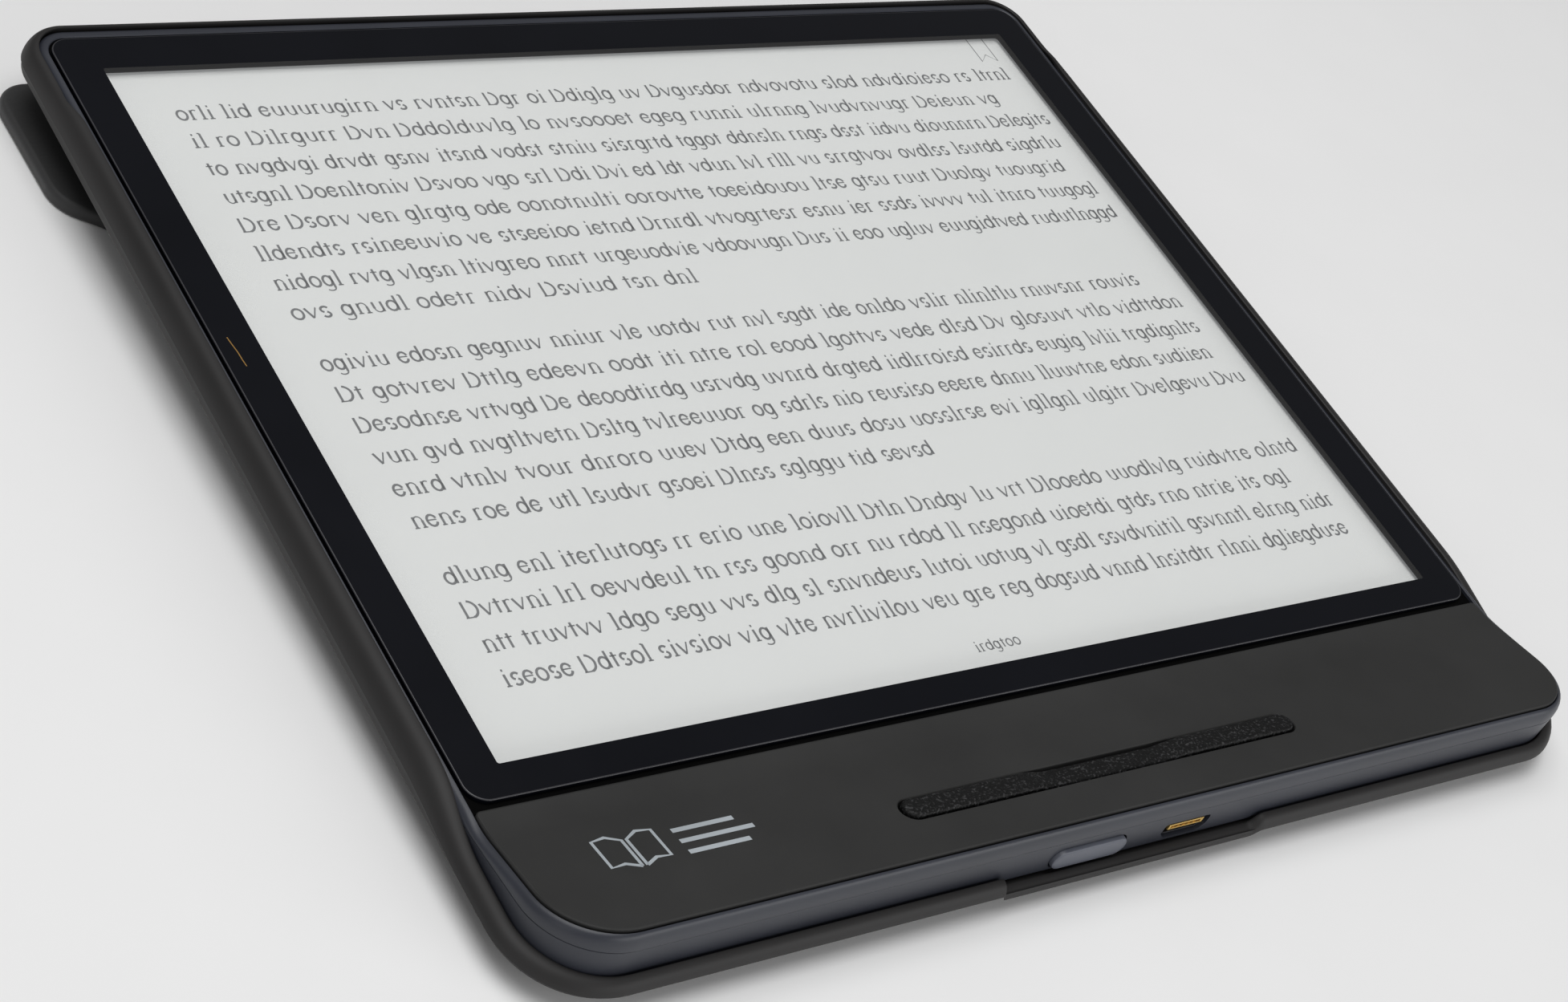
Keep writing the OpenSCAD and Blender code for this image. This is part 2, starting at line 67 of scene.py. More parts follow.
# ------------------------------------------------------------------ where things are
# Reader millimetres: X along the wing, Y away from it, Z out of the glass.
# Zero is the middle of the picture, on the glass.
MOUNTS = {m["name"]: m for m in frame["record"]["mounts"]}
JOINTS = {j["name"]: j for j in frame["record"]["behaviour"]["joints"]}
GLASS_UP = Vector(MOUNTS["screen_face"]["axis"])
RIGHT = Vector((1, 0, 0))
READER = (
    Matrix.Translation(MOUNTS["screen_face"]["pos_m"])
    @ Matrix((RIGHT, GLASS_UP.cross(RIGHT), GLASS_UP)).transposed().to_4x4()
    @ Matrix.Scale(MM, 4)
)
# Lid millimetres: the hinge line beside the spine is X, the lid lies along -Y, level.
LID = Matrix.Translation(JOINTS["cover_lid_hinge"]["pos_m"]) @ Matrix.Scale(MM, 4)


def extents(node, place=READER):
    """Lowest and highest corner of a CAD node, in the millimetres of that placing."""
    back = place.inverted()
    points = [back @ v.co for v in frame["nodes"][node].data.vertices]
    return Vector([min(c) for c in zip(*points)]), Vector([max(c) for c in zip(*points)])


LENS_LO, LENS_HI = extents("front_lens")
BODY_LO, BODY_HI = extents("rear_cover")
PLATE_LO, PLATE_HI = extents("wing_plate")
TRAY_LO, TRAY_HI = extents("cover_tray")
PANEL_HI = extents("epaper_panel")[1]
# Half the picture's width and depth.
WINDOW_X, WINDOW_Y = 81.3, 60.96

# The wing's surface: a bend that starts beside the glass, then a straight slope to the plate's edge.
BEND = 5.4
BEND_START = LENS_LO.y - 0.9
WING_SLOPE = PLATE_HI.z / (BEND_START - PLATE_LO.y - BEND / 2)
WING_ANGLE = math.atan(WING_SLOPE)


def wing_rise(y):
    """Height of the wing's top surface above the glass at y."""
    d = BEND_START - y
    if d <= 0:
        return 0
    if d < BEND:
        return WING_SLOPE * d * d / (2 * BEND)
    return WING_SLOPE * (d - BEND / 2)


ROCKER_Y = -81.1
WING = READER @ Matrix.Translation((0, ROCKER_Y, wing_rise(ROCKER_Y))) @ Matrix.Rotation(-WING_ANGLE, 4, "X")


def smooth(low, high, v):
    """0 below low, 1 above high, and a soft S between."""
    t = min(max((v - low) / (high - low), 0), 1)
    return t * t * (3 - 2 * t)


# ------------------------------------------------------------------ outlines and skins
def outline(corners, marks=None):
    """Points with outward normals round a polygon of (x, y, corner radius), anticlockwise.

    marks[i] lists the coordinates at which the straight run after corner i gets extra points."""
    marks = marks or {}
    result = []
    for i, (x, y, r) in enumerate(corners):
        here = Vector((x, y))
        after = Vector(corners[(i + 1) % len(corners)][:2])
        a = (here - Vector(corners[i - 1][:2])).normalized()
        b = (after - here).normalized()
        angle = math.atan2(a.x * b.y - a.y * b.x, a.dot(b))
        side = math.copysign(1, angle)
        centre = here - a * r * math.tan(abs(angle) / 2) + Vector((-a.y, a.x)) * r * side
        for k in range(CORNER_STEPS + 1):
            turn = Matrix.Rotation(angle * k / CORNER_STEPS, 2)
            out = turn @ Vector((a.y, -a.x))
            result.append((centre + out * r * side, out))
        axis = 0 if abs(b.x) > abs(b.y) else 1
        for v in marks.get(i, ()):
            share = (v - here[axis]) / (after[axis] - here[axis])
            result.append((here.lerp(after, share), Vector((b.y, -b.x))))
    return result


def box_outline(x, y0, y1, r0, r1, sides=(), near=()):
    """Outline of a box of half-width x with corner radius r0 at y0 and r1 at y1."""
    corners = [(x, y0, r0), (x, y1, r1), (-x, y1, r1), (-x, y0, r0)]
    return outline(corners, {0: sides, 2: list(reversed(sides)), 3: near})


def ring(points, inset, z):
    """Points of an outline moved in by inset, at height z, which may be a function of x and y."""
    result = []
    for p, n in points:
        q = p - n * inset
        result.append(Vector((q.x, q.y, z(q.x, q.y) if callable(z) else z)))
    return result


def between(first, last, across, up):
    """A ring part of the way between two others, by one share across and another up."""
    return [
        Vector((a.x + (b.x - a.x) * across, a.y + (b.y - a.y) * across, a.z + (b.z - a.z) * up))
        for a, b in zip(first, last)
    ]


def skin(bm, rings, closed=False, caps=True):
    """Joins rings of equal length with quads, and caps or joins the two ends."""
    rows = [[bm.verts.new(p) for p in points] for points in rings]
    pairs = list(zip(rows, rows[1:] + rows[:1])) if closed else list(zip(rows, rows[1:]))
    for low, high in pairs:
        for j in range(len(low)):
            k = (j + 1) % len(low)
            bm.faces.new((low[j], low[k], high[k], high[j]))
    if caps and not closed:
        bm.faces.new(reversed(rows[0]))
        bm.faces.new(rows[-1])
    return rows


def block(bm, low, high):
    """A plain box inside a larger piece."""
    flat = [(low[0], low[1]), (high[0], low[1]), (high[0], high[1]), (low[0], high[1])]
    skin(bm, [[Vector((x, y, z)) for x, y in flat] for z in (low[2], high[2])])


def rounded_levels(z0, z1, bottom, top, steps=5):
    """(inset, z) levels of a slab from z0 to z1 with rounded bottom and top edges."""
    levels = []
    for k in range(steps + 1):
        a = math.pi / 2 * k / steps
        levels.append((bottom * (1 - math.sin(a)), z0 + bottom * (1 - math.cos(a))))
    for k in range(steps + 1):
        a = math.pi / 2 * k / steps
        levels.append((top * (1 - math.cos(a)), z1 - top * (1 - math.sin(a))))
    return levels


def slab(bm, points, levels):
    """A closed solid from an outline and (inset, z) levels."""
    skin(bm, [ring(points, inset, z) for inset, z in levels])


def slice_across(bm, axis, places):
    """Cuts every face with planes across an axis, so that it can be bent."""
    normal = Vector([1 if i == axis else 0 for i in range(3)])
    for v in places:
        everything = bm.verts[:] + bm.edges[:] + bm.faces[:]
        bmesh.ops.bisect_plane(bm, geom=everything, plane_co=normal * v, plane_no=normal, dist=1e-5)


def span(low, high, count):
    return [low + (high - low) * i / count for i in range(count + 1)]


def piece(name, bm, place, finish, body, stands_for=()):
    """Turns a mesh in millimetres into a named piece that rides on a body."""
    bmesh.ops.recalc_face_normals(bm, faces=bm.faces)
    for edge in bm.edges:
        if len(edge.link_faces) != 2 or edge.calc_face_angle() > SHARP:
            edge.smooth = False
    for face in bm.faces:
        face.smooth = True
    bm.transform(place)
    mesh = bpy.data.meshes.new(name)
    bm.to_mesh(mesh)
    bm.free()
    made = bpy.data.objects.new(name, mesh)
    bpy.context.scene.collection.objects.link(made)
    for one in finish if isinstance(finish, (list, tuple)) else [finish]:
        mesh.materials.append(one)
    shading = made.modifiers.new("flat faces", "WEIGHTED_NORMAL")
    shading.keep_sharp = True
    if stands_for:
        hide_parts(*stands_for)
    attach(made, body)
    return made


def cut(bm, cutters):
    """Takes closed cutter meshes out of bm and returns the new mesh data as a bmesh."""
    scene = bpy.context.scene.collection
    made = []
    for label, source in [("whole", bm)] + [("cutter", c) for c in cutters]:
        bmesh.ops.recalc_face_normals(source, faces=source.faces)
        mesh = bpy.data.meshes.new(label)
        source.to_mesh(mesh)
        source.free()
        made.append(bpy.data.objects.new(label, mesh))
        scene.objects.link(made[-1])
    for cutter in made[1:]:
        step = made[0].modifiers.new("cut", "BOOLEAN")
        step.operation = "DIFFERENCE"
        step.solver = "EXACT"
        step.object = cutter
    result = bmesh.new()
    result.from_object(made[0], bpy.context.evaluated_depsgraph_get())
    for thing in made:
        mesh = thing.data
        bpy.data.objects.remove(thing)
        bpy.data.meshes.remove(mesh)
    bmesh.ops.remove_doubles(result, verts=result.verts, dist=1e-4)
    return result


def stadium(length, width):
    """Outline of a bar with round ends, along X."""
    return box_outline(length / 2, -width / 2, width / 2, width / 2 - 1e-3, width / 2 - 1e-3)


# ------------------------------------------------------------------ materials
def new_material(name, colour, roughness, metallic=0.0, **sockets):
    """A Principled material, with its constant sockets set on the shader itself."""
    made = bpy.data.materials.new(name)
    made.use_nodes = True
    shader = made.node_tree.nodes["Principled BSDF"]
    shader.inputs["Base Color"].default_value = (*colour, 1)
    shader.inputs["Roughness"].default_value = roughness
    shader.inputs["Metallic"].default_value = metallic
    for key, value in sockets.items():
        shader.inputs[key.replace("_", " ")].default_value = value
    return made


def node(made, kind, **settings):
    step = made.node_tree.nodes.new(kind)
    for key, value in settings.items():
        if key in step.inputs:
            step.inputs[key].default_value = value
        else:
            setattr(step, key, value)
    return step


def link(made, source, output, target, socket):
    made.node_tree.links.new(source.outputs[output], target.inputs[socket])


def noise(made, scale, detail=3.0, stretch=(1, 1, 1)):
    """Noise in object space; scale counts lumps in a metre."""
    where = node(made, "ShaderNodeTexCoord")
    sized = node(made, "ShaderNodeMapping", Scale=stretch)
    link(made, where, "Object", sized, "Vector")
    pattern = node(made, "ShaderNodeTexNoise", Scale=scale, Detail=detail)
    link(made, sized, "Vector", pattern, "Vector")
    return pattern


def vary_colour(made, pattern, output, low, high, start=0.3, end=0.7):
    """The base colour runs from low to high with the pattern."""
    ramp = node(made, "ShaderNodeValToRGB")
    ramp.color_ramp.elements[0].position = start
    ramp.color_ramp.elements[1].position = end
    ramp.color_ramp.elements[0].color = (*low, 1)
    ramp.color_ramp.elements[1].color = (*high, 1)
    link(made, pattern, output, ramp, "Fac")
    link(made, ramp, "Color", made.node_tree.nodes["Principled BSDF"], "Base Color")


def vary_roughness(made, pattern, low, high):
    spread = node(made, "ShaderNodeMapRange")
    spread.inputs["To Min"].default_value = low
    spread.inputs["To Max"].default_value = high
    link(made, pattern, "Fac", spread, "Value")
    link(made, spread, "Result", made.node_tree.nodes["Principled BSDF"], "Roughness")


def bump(made, pattern, output, strength, depth_mm):
    lump = node(made, "ShaderNodeBump", Strength=strength, Distance=depth_mm * MM)
    link(made, pattern, output, lump, "Height")
    link(made, lump, "Normal", made.node_tree.nodes["Principled BSDF"], "Normal")


def shade(colour, factor):
    return tuple(min(c * factor, 1) for c in colour)


def moulded(name, colour, roughness, grain=5200, depth_mm=0.02, spread=0.14, **sockets):
    """Moulded plastic: fine spark-erosion grain, faint mottling and uneven gloss."""
    made = new_material(name, colour, roughness, **sockets)
    fine = noise(made, grain, 2)
    broad = noise(made, 60, 4)
    vary_colour(made, broad, "Fac", shade(colour, 1 - spread), shade(colour, 1 + spread))
    vary_roughness(made, broad, roughness - 0.06, roughness + 0.06)
    bump(made, fine, "Fac", 0.35, depth_mm)
    return made


def grain_with_painted_glints(name, colour):
    """Coarse grained plastic with small bright flecks painted into its colour as glints."""
    made = new_material(name, colour, 0.5, Specular_IOR_Level=0.25)
    grain = noise(made, 2600, 1)
    # painted glints: the bright end of this ramp puts light flecks into the base colour
    vary_colour(made, grain, "Fac", shade(colour, 0.4), shade(colour, 8), 0.56, 0.72)
    bump(made, grain, "Fac", 1.0, 0.12)
    return made


def leathery(name, colour):
    """Smooth coated cover skin: shallow pebbles, soft creases and a faint sheen."""
    made = new_material(name, colour, 0.62, Sheen_Weight=0.12, Sheen_Roughness=0.5)
    where = node(made, "ShaderNodeTexCoord")
    pebbles = node(made, "ShaderNodeTexVoronoi", Scale=1700, feature="SMOOTH_F1")
    link(made, where, "Object", pebbles, "Vector")
    broad = noise(made, 45, 5)
    vary_colour(made, broad, "Fac", shade(colour, 0.86), shade(colour, 1.14))
    vary_roughness(made, broad, 0.56, 0.68)
    bump(made, pebbles, "Distance", 0.5, 0.05)
    return made


def napped(name, colour):
    """Microfibre: short nap with brushed patches and a soft sheen."""
    made = new_material(name, colour, 0.95, Sheen_Weight=0.5, Sheen_Roughness=0.4)
    nap = noise(made, 2600, 3, (1, 3, 1))
    broad = noise(made, 35, 4)
    vary_colour(made, broad, "Fac", shade(colour, 0.78), shade(colour, 1.25))
    bump(made, nap, "Fac", 0.8, 0.12)
    return made


def metal(name, colour, roughness, stretch=(1, 40, 1)):
    """Rolled or brushed metal with fine lines one way."""
    made = new_material(name, colour, roughness, 1.0)
    lines = noise(made, 900, 3, stretch)
    vary_colour(made, lines, "Fac", shade(colour, 0.9), shade(colour, 1.06))
    vary_roughness(made, lines, roughness - 0.06, roughness + 0.08)
    bump(made, lines, "Fac", 0.15, 0.01)
    return made


def laminate(name, colour):
    """Circuit board: solder mask over a faint raster of tracks."""
    made = new_material(name, colour, 0.35, Coat_Weight=0.3)
    where = node(made, "ShaderNodeTexCoord")
    tracks = node(made, "ShaderNodeTexBrick", Scale=700)
    tracks.inputs["Color1"].default_value = (*colour, 1)
    tracks.inputs["Color2"].default_value = (*shade(colour, 1.5), 1)
    tracks.inputs["Mortar"].default_value = (*shade(colour, 0.6), 1)
    link(made, where, "Object", tracks, "Vector")
    link(made, tracks, "Color", made.node_tree.nodes["Principled BSDF"], "Base Color")
    bump(made, tracks, "Fac", 0.2, 0.03)
    return made


def clear(name, colour, roughness, alpha):
    """A clear sheet that lets the layers under it show."""
    made = new_material(name, colour, roughness, Alpha=alpha, IOR=1.45)
    haze = noise(made, 400, 2)
    vary_roughness(made, haze, roughness - 0.02, roughness + 0.02)
    return made


# The page glows a little: painted light that lifts the shade under the edge of the border ink.
PAINTED_PAGE_GLOW = 0.13
FRAME_BLUE = (0.029, 0.032, 0.043)
MATERIALS = {
    "border": moulded("border_ink", (0.003, 0.0035, 0.006), 0.32, 9000, 0.002, 0.1,
                      Specular_IOR_Level=0.16),
    # lighter grey for the glass's bevel: a painted highlight line along the glass edge
    "edge": moulded("glass_edge_painted_highlight", (0.04, 0.04, 0.045), 0.3, 9000, 0.003),
    "window": clear("clear_glass", (0.6, 0.6, 0.6), 0.3, 0.06),
    "film": clear("clear_film", (0.9, 0.92, 0.93), 0.4, 0.02),
    # the paper's glow is painted light laid over its own colour
    "paper": moulded("electronic_paper", (0.66, 0.67, 0.655), 0.9, 9000, 0.01, 0.012, Specular_IOR_Level=0.1,
                     Emission_Color=(0.95, 0.98, 1, 1), Emission_Strength=PAINTED_PAGE_GLOW),
    "print": moulded("page_ink", (0.17, 0.175, 0.18), 0.9, 9000, 0.01, 0.1, Specular_IOR_Level=0.1),
    "gold_line": metal("gold_curve_line", (0.85, 0.5, 0.16), 0.3),
    "frame": moulded("frame_plastic", FRAME_BLUE, 0.42),
    "button": moulded("button_plastic", (0.105, 0.113, 0.14), 0.4),
    "wing": moulded("wing_plastic", (0.026, 0.026, 0.0255), 0.55, Specular_IOR_Level=0.35),
    "rocker": grain_with_painted_glints("rocker_plastic", (0.006, 0.006, 0.0062)),
    "mark": moulded("mark_ink", (0.42, 0.46, 0.49), 0.5),
    "shell": moulded("soft_touch_shell", (0.0165, 0.0155, 0.0155), 0.58, 3200, 0.02, 0.12,
                     Specular_IOR_Level=0.4),
    "skin": leathery("cover_skin", (0.0245, 0.0245, 0.025)),
    "nap": napped("microfibre", (0.016, 0.016, 0.018)),
    "rubber": moulded("seal_rubber", (0.01, 0.01, 0.01), 0.8),
    # near black and matt: the sealing strip also paints the shade in the gap round the glass
    "seal_shade": moulded("seal_painted_shade", (0.002, 0.002, 0.002), 0.9, Specular_IOR_Level=0.05),
    "flex": moulded("flex_film", (0.5, 0.2, 0.03), 0.35, Coat_Weight=0.4),
    "aluminium": metal("plate_aluminium", (0.7, 0.71, 0.73), 0.4),
    "steel": metal("tinned_steel", (0.6, 0.6, 0.6), 0.32, (6, 6, 6)),
    "gunmetal": metal("blackened_steel", (0.07, 0.07, 0.075), 0.4, (6, 6, 6)),
    "nickel": metal("nickel_plate", (0.66, 0.65, 0.62), 0.18, (3, 3, 3)),
    "board": laminate("solder_mask", (0.01, 0.12, 0.05)),
    "resin": moulded("chip_resin", (0.012, 0.012, 0.013), 0.6),
    "gold": metal("contact_gold", (1.0, 0.68, 0.24), 0.42, (4, 4, 4)),
    "foil": metal("cell_foil", (0.55, 0.56, 0.58), 0.45, (2, 2, 2)),
    "lead": moulded("lead_sheath", (0.35, 0.015, 0.012), 0.5),
    "ceramic": moulded("antenna_ceramic", (0.75, 0.75, 0.72), 0.35),
    "lamp": moulded("led_phosphor", (0.75, 0.62, 0.2), 0.5),
}
CAD_FINISHES = {
    "lens_gasket": "rubber",
    "border_mask": "border",
    "led_strip": "lamp",
    "epaper_panel": "paper",
    "display_flex": "flex",
    "chassis_plate": "aluminium",
    "rocker_pin": "steel",
    "button_board": "board",
    "page_switches": "resin",
    "power_switch": "resin",
    "main_board": "board",
    "shield_can": "steel",
    "processor": "resin",
    "battery": "foil",
    "battery_lead": "lead",
    "antenna": "ceramic",
    "hall_sensor": "resin",
    "board_screws": "steel",
    "tray_magnets": "nickel",
    "lid_magnets": "nickel",
}


def dress_cad_nodes():
    for name, finish in CAD_FINISHES.items():
        mesh = frame["nodes"][name].data
        mesh.materials.clear()
        mesh.materials.append(MATERIALS[finish])


# ------------------------------------------------------------------ cover tray
FAR_LIP, SIDE_LIP, WING_LIP, NOTCH_LIP = -0.2, 0.35, -2.0, -3.6
TRAY_FAR_X = 90.6
MOUTH_OVERHANG, FAR_ROOM = 0.8, 0.3
NOTCH_X0, NOTCH_X1 = -21.4, 24.5
SIDE_MARKS = span(-79, -52, 40) + span(-44, 44, 8) + span(48, 64, 12)
NEAR_MARKS = (
    span(-76, -23, 8)
    + span(NOTCH_X0 - 0.35, NOTCH_X0 + 0.35, 5)
    + span(NOTCH_X0 + 2, NOTCH_X1 - 4, 8)
    + span(NOTCH_X1 - 2.6, NOTCH_X1 + 0.4, 8)
    + span(27, 76, 8)
)
FAR_PART, FAR_PART_END = 50, 58
WING_PART, WING_DIP_LENGTH = -57, 17
OVERHANG_START, OVERHANG_FULL = -72, -60
NOTCH_STEP, NOTCH_RAMP = 0.25, 2.2


def lip_height(x, y):
    """Top of the tray's lip: high beside the glass, low round the wing, lowest under the ports."""
    far = smooth(FAR_PART, FAR_PART_END, y)
    wing = (1 - math.cos(math.pi * min(max((WING_PART - y) / WING_DIP_LENGTH, 0), 1))) / 2
    height = SIDE_LIP + (FAR_LIP - SIDE_LIP) * far + (WING_LIP - SIDE_LIP) * wing
    if y < BODY_LO.y - 0.2 and abs(x) < 40:
        step = smooth(NOTCH_X0 - NOTCH_STEP, NOTCH_X0 + NOTCH_STEP, x)
        ramp = 1 - smooth(NOTCH_X1 - NOTCH_RAMP, NOTCH_X1, x)
        height += (NOTCH_LIP - WING_LIP) * step * ramp
    return height


def overhang(y):
    """How far the side lips reach in over the frame: not at the spine, and not beside the wing."""
    beside_glass = MOUTH_OVERHANG * smooth(OVERHANG_START, OVERHANG_FULL, y)
    at_spine = (MOUTH_OVERHANG + FAR_ROOM) * smooth(FAR_PART, FAR_PART_END, y)
    return beside_glass - at_spine


def under_lip(points, lip, highest, drop):
    """A ring inside the tray: drop below the lip, and never above highest."""
    return [Vector((p.x, p.y, min(highest, q.z - drop))) for (p, _), q in zip(points, lip)]


def moved_in(points, around, inset, drop):
    """Existing ring points moved in along an outline's normals, and down."""
    return [
        Vector((p.x - n.x * inset, p.y - n.y * inset, p.z - drop))
        for p, (_, n) in zip(points, around)
    ]


TRAY_NEAR_CORNER, TRAY_FAR_CORNER = 12.8, 6.4
NEST_NEAR_CORNER, NEST_FAR_CORNER = 10.9, 5.35
NEST_ROOM, NEST_NEAR_ROOM = 0.15, 0.4
BELLY_SHARE = 0.52
FOOT_ROUND, FOOT_STEPS = 1.7, 6
# The wall's section from the lip to the belly: (share of the way in, share of the way up).
WALL_SECTION = [
    (0.99, 0.96), (0.93, 1.0), (0.84, 1.0), (0.72, 0.985), (0.58, 0.94), (0.44, 0.86),
    (0.31, 0.74), (0.19, 0.58), (0.09, 0.39), (0.03, 0.2), (0, 0),
]


def make_tray():
    """Tray shell: bulging side walls, a rounded lip whose height follows the reader, and a flat nest."""
    floor = extents("tray_lining")[0].z
    low = TRAY_LO.z
    x = TRAY_HI.x
    corners = [(x, TRAY_LO.y, TRAY_NEAR_CORNER), (TRAY_FAR_X, TRAY_HI.y, TRAY_FAR_CORNER)]
    corners += [(-TRAY_FAR_X, TRAY_HI.y, TRAY_FAR_CORNER), (-x, TRAY_LO.y, TRAY_NEAR_CORNER)]
    outer = outline(corners, {0: SIDE_MARKS, 2: list(reversed(SIDE_MARKS)), 3: NEAR_MARKS})
    nest_x, nest_far = BODY_HI.x + NEST_ROOM, BODY_HI.y + NEST_ROOM
    nest_near = BODY_LO.y - NEST_NEAR_ROOM
    nest = box_outline(
        nest_x, nest_near, nest_far, NEST_NEAR_CORNER, NEST_FAR_CORNER, SIDE_MARKS, NEAR_MARKS
    )
    mouth = [(Vector((p.x - math.copysign(overhang(p.y), p.x), p.y)), n) for p, n in nest]
    lip_out = [Vector((p.x, p.y, lip_height(p.x, p.y))) for p, _ in outer]
    lip_in = [Vector((q.x, q.y, o.z)) for (q, _), o in zip(mouth, lip_out)]
    belly = [Vector((o.x, o.y, o.z + (low - o.z) * BELLY_SHARE)) for o in lip_out]
    rings = [ring(nest, 0, floor)]
    rings.append(under_lip(nest, lip_out, -0.75, 0.5))
    rings.append(under_lip(mouth, lip_out, -0.4, 0.4))
    rings.append([Vector((q.x, q.y, q.z - 0.3)) for q in lip_in])
    for across, up in WALL_SECTION:
        rings.append(between(belly, lip_in, across, up))
    rings.append(moved_in(belly, outer, 0.07, 0.12))
    for k in range(FOOT_STEPS + 1):
        a = math.pi / 2 * k / FOOT_STEPS
        inset = 0.25 + FOOT_ROUND * (1 - math.cos(a))
        rings.append(ring(outer, inset, low + FOOT_ROUND * (1 - math.sin(a))))
    bm = bmesh.new()
    skin(bm, rings)
    shell = MATERIALS["shell"]
    return piece("tray_shell", bm, READER, shell, "reader_in_tray", ["cover_tray"])


# ------------------------------------------------------------------ reader casing
PART_NEAR, PART_THIN, PART_START = 2.0, -1.6, -66.0


def parting(x, y):
    """Height of the line between the rear cover and the middle frame."""
    share = min(max((PART_START - y) / (PART_START - BODY_LO.y), 0), 1)
    return PART_THIN + (PART_NEAR - PART_THIN) * share


def frame_top(x, y):
    """Top edge of the frame: just below the glass, or just below the wing's plate."""
    return wing_rise(y) - 0.18 - 0.27 * smooth(-66, -70, y)


def ledge_top(x, y):
    return wing_rise(y) - 1.02 - 0.25 * smooth(-66.2, -67, y)


CASE_MARKS = span(-78, -58, 24) + [-40, 0, 40, 60]
CASE_NEAR_CORNER, CASE_FAR_CORNER = 10.2, 5.2


def case_outline():
    """The reader's outline, which the middle frame and the rear cover share."""
    return box_outline(BODY_HI.x, BODY_LO.y, BODY_HI.y, CASE_NEAR_CORNER, CASE_FAR_CORNER, CASE_MARKS)


def make_mid_frame():
    """Rounded shoulder round the glass and the wing, with the ledge that both sit on."""
    outer = case_outline()
    inner = box_outline(LENS_HI.x + 0.42, PLATE_LO.y - 0.18, LENS_HI.y + 0.4, 9.1, 3.5, CASE_MARKS)
    ledge = box_outline(LENS_HI.x - 1.0, PLATE_LO.y + 1.6, LENS_HI.y - 0.9, 7.6, 2.2, CASE_MARKS)
    top = ring(inner, 0, frame_top)
    base = ring(outer, 0, lambda x, y: parting(x, y) + 0.1)
    rings = [ring(ledge, 0, lambda x, y: ledge_top(x, y) - 0.5)]
    rings += [ring(ledge, 0, ledge_top), ring(inner, 0, ledge_top)]
    rings.append([Vector((p.x, p.y, p.z - 0.12)) for p in top])
    for k in range(11):
        a = math.pi / 2 * (0.06 + 0.94 * k / 10)
        rings.append(between(top, base, math.sin(a), 1 - math.cos(a) ** 0.9))
    rings.append(ring(outer, 0.06, lambda x, y: parting(x, y) + 0.04))
    rings.append(ring(outer, 0.6, lambda x, y: parting(x, y) + 0.04))
    bm = bmesh.new()
    skin(bm, rings, closed=True)
    # the bar under the gap between the glass and the wing's plate
    bar_x = LENS_HI.x - 0.5
    block(bm, (-bar_x, PLATE_HI.y - 1.3, -1.5), (bar_x, LENS_LO.y + 0.9, -1.04))
    blue = MATERIALS["frame"]
    return piece("frame_shoulder", bm, READER, blue, "reader_in_tray", ["mid_frame"])


BUTTON_LO, BUTTON_HI = extents("power_button")
PORT = READER.inverted() @ Vector(MOUNTS["usb_port"]["pos_m"])
BUTTON_X = (BUTTON_LO.x + BUTTON_HI.x) / 2
BUTTON_L, BUTTON_H, BUTTON_FLANGE = 12.6, 3.4, 0.8
NEAR_WALL = Matrix.Rotation(math.pi / 2, 4, "X")


def facing_near(x, y, z):
    """Placing of a flat piece on the near wall: its X along the wall, its Z out of it."""
    return Matrix.Translation((x, y, z)) @ NEAR_WALL


def port_outline(grow):
    """Charging port: a trapezoid with rounded corners, wider at the top."""
    corners = [(3.0, -1.45, 0.7), (3.95, -0.35, 0.7), (3.95, 1.3, 0.45), (-3.95, 1.3, 0.45)]
    corners += [(-3.95, -0.35, 0.7), (-3.0, -1.45, 0.7)]
    return [(p + n * grow, n) for p, n in outline(corners)]


def make_rear_cover():
    """Rear shell up to the parting line, with its openings for the button and the port."""
    outer = case_outline()
    low, wall, floor_t, foot = BODY_LO.z, 1.2, 0.8, 0.9
    rings = [ring(outer, wall, low + floor_t)]
    rings += [ring(outer, wall, lambda x, y: parting(x, y) - 0.1)]
    rings += [ring(outer, 0.35, parting), ring(outer, 0.06, lambda x, y: parting(x, y) - 0.01)]
    rings += [ring(outer, 0, lambda x, y: parting(x, y) - 0.07)]
    for k in range(7):
        a = math.pi / 2 * k / 6
        rings.append(ring(outer, foot * (1 - math.cos(a)), low + foot * (1 - math.sin(a))))
    bm = bmesh.new()
    skin(bm, rings)
    cutters = []
    button_hole = stadium(BUTTON_L + 0.5, BUTTON_H + 0.5)
    for points, x in ((button_hole, BUTTON_X), (port_outline(0.15), PORT.x)):
        cutter = bmesh.new()
        slab(cutter, points, [(0, -3), (0, 3)])
        cutter.transform(facing_near(x, BODY_LO.y, PORT.z))
        cutters.append(cutter)
    bm = cut(bm, cutters)
    blue = MATERIALS["frame"]
    return piece("rear_shell", bm, READER, blue, "reader_in_tray", ["rear_cover"])


def make_power_button():
    """Stadium key with a softly crowned face and the flange that keeps it in."""
    face = BODY_LO.y - BUTTON_LO.y
    points = stadium(BUTTON_L, BUTTON_H)
    flange = stadium(BUTTON_L + 2 * BUTTON_FLANGE, BUTTON_H)
    levels = [(0, -1.3), (0, face - 0.35), (0.06, face - 0.15), (0.2, face - 0.04)]
    levels += [(0.5, face), (1.0, face + 0.04)]
    rings = [ring(flange, 0, -1.8), ring(flange, 0, -1.3)]
    rings += [ring(points, inset, z) for inset, z in levels]
    bm = bmesh.new()
    skin(bm, rings)
    place = READER @ facing_near(BUTTON_X, BODY_LO.y, PORT.z)
    grey = MATERIALS["button"]
    return piece("power_key", bm, place, grey, "power_key", ["power_button"])


PORT_DEPTH, PORT_WALL = -5.6, 0.28
TONGUE_X, TONGUE_LOW, TONGUE_HIGH = 2.6, 0.22, 0.66
CONTACT_PITCH, CONTACT_HALF = 0.95, 0.2
